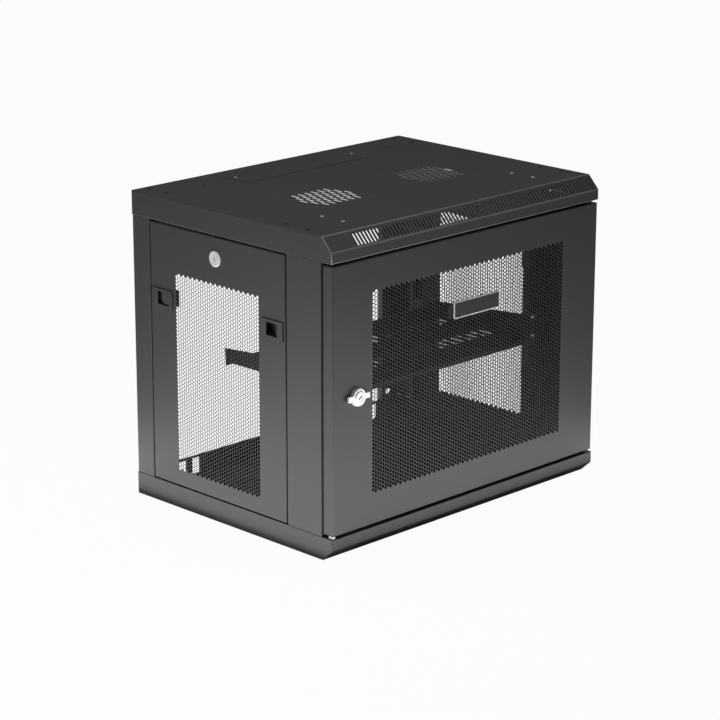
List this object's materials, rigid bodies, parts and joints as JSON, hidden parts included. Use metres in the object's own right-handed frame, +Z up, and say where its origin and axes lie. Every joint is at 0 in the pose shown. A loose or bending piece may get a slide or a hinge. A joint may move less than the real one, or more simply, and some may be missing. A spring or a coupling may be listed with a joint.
{
  "type": "wall mount network cabinet",
  "caption": "Wall-mount 19-inch network cabinet of folded sheet steel, with a lockable vented door, latched vented side panels, rack rails and a vented shelf.",
  "frame": {"origin": "middle of the bottom cover's underside, under the middle of the shell", "axes": "+X to the right of someone facing the door, +Y from the door to the wall, +Z up"},
  "size_m": [0.604, 0.4633, 0.5042],
  "materials": {
    "black_coat": "satin black powder coat with a fine grain",
    "chrome": "bright plated",
    "zinc": "zinc plated",
    "latch_plastic": "matt black",
    "badge": "satin rim round a dark field",
    "badge_backing": "matt black"
  },
  "bodies": {
    "cabinet": {"top_cover": "black_coat", "bottom_cover": "black_coat", "left_front_post": "black_coat", "right_front_post": "black_coat", "left_rear_post": "black_coat", "right_rear_post": "black_coat", "left_rack_rail": "black_coat", "right_rack_rail": "black_coat", "left_lower_rail_foot": "black_coat", "right_lower_rail_foot": "black_coat", "left_upper_rail_foot": "black_coat", "right_upper_rail_foot": "black_coat", "top_entry_plate": "black_coat", "bottom_entry_plate": "black_coat", "shelf": "black_coat", "shelf_screws": "zinc", "cage_nuts": "zinc", "lower_hinge_pin": "zinc"},
    "door": {"door": "black_coat", "badge_backing": "badge_backing", "badge_plate": "badge", "door_lock_body": "chrome", "door_lock_nut": "zinc"},
    "upper_pin": {"upper_hinge_pin": "zinc"},
    "door_lock": {"door_lock_knob": "chrome", "door_lock_cam": "zinc"},
    "left_panel": {"left_side_panel": "black_coat", "left_side_lock_body": "chrome", "left_side_lock_nut": "zinc", "left_front_latch_housing": "latch_plastic", "left_rear_latch_housing": "latch_plastic"},
    "left_lock": {"left_side_lock_core": "chrome", "left_side_lock_cam": "zinc"},
    "left_front_latch": {"left_front_latch_slider": "latch_plastic"},
    "left_rear_latch": {"left_rear_latch_slider": "latch_plastic"},
    "right_panel": {"right_side_panel": "black_coat", "right_side_lock_body": "chrome", "right_side_lock_nut": "zinc", "right_front_latch_housing": "latch_plastic", "right_rear_latch_housing": "latch_plastic"},
    "right_lock": {"right_side_lock_core": "chrome", "right_side_lock_cam": "zinc"},
    "right_front_latch": {"right_front_latch_slider": "latch_plastic"},
    "right_rear_latch": {"right_rear_latch_slider": "latch_plastic"}
  },
  "joints": [
    {"name": "door_hinge", "type": "hinge", "parent": "cabinet", "child": "door", "pos_m": [0.29, -0.217, 0.05], "axis": [0, 0, 1], "range_deg": [0, 180]},
    {"name": "upper_pin_slide", "type": "slide", "parent": "door", "child": "upper_pin", "axis": [0, 0, -1], "range_m": [0, 0.01], "stiffness_N_per_m": 200, "springref_m": -0.01},
    {"name": "door_lock_turn", "type": "hinge", "parent": "door", "child": "door_lock", "pos_m": [-0.2477, -0.21, 0.25205], "axis": [0, 1, 0], "range_deg": [0, 90]},
    {"name": "left_panel_tilt", "type": "hinge", "parent": "cabinet", "child": "left_panel", "pos_m": [-0.3, 0.0279, 0.0387], "axis": [0, -1, 0], "range_deg": [0, 20]},
    {"name": "left_lock_turn", "type": "hinge", "parent": "left_panel", "child": "left_lock", "pos_m": [-0.2855, 0.029, 0.427], "axis": [1, 0, 0], "range_deg": [0, 90]},
    {"name": "left_front_latch_slide", "type": "slide", "parent": "left_panel", "child": "left_front_latch", "axis": [0, -1, 0], "range_m": [0, 0.008]},
    {"name": "left_rear_latch_slide", "type": "slide", "parent": "left_panel", "child": "left_rear_latch", "axis": [0, 1, 0], "range_m": [0, 0.008]},
    {"name": "right_panel_tilt", "type": "hinge", "parent": "cabinet", "child": "right_panel", "pos_m": [0.3, 0.0279, 0.0387], "axis": [0, 1, 0], "range_deg": [0, 20]},
    {"name": "right_lock_turn", "type": "hinge", "parent": "right_panel", "child": "right_lock", "pos_m": [0.2855, 0.029, 0.427], "axis": [1, 0, 0], "range_deg": [0, 90]},
    {"name": "right_front_latch_slide", "type": "slide", "parent": "right_panel", "child": "right_front_latch", "axis": [0, -1, 0], "range_m": [0, 0.008]},
    {"name": "right_rear_latch_slide", "type": "slide", "parent": "right_panel", "child": "right_rear_latch", "axis": [0, 1, 0], "range_m": [0, 0.008]}
  ]
}
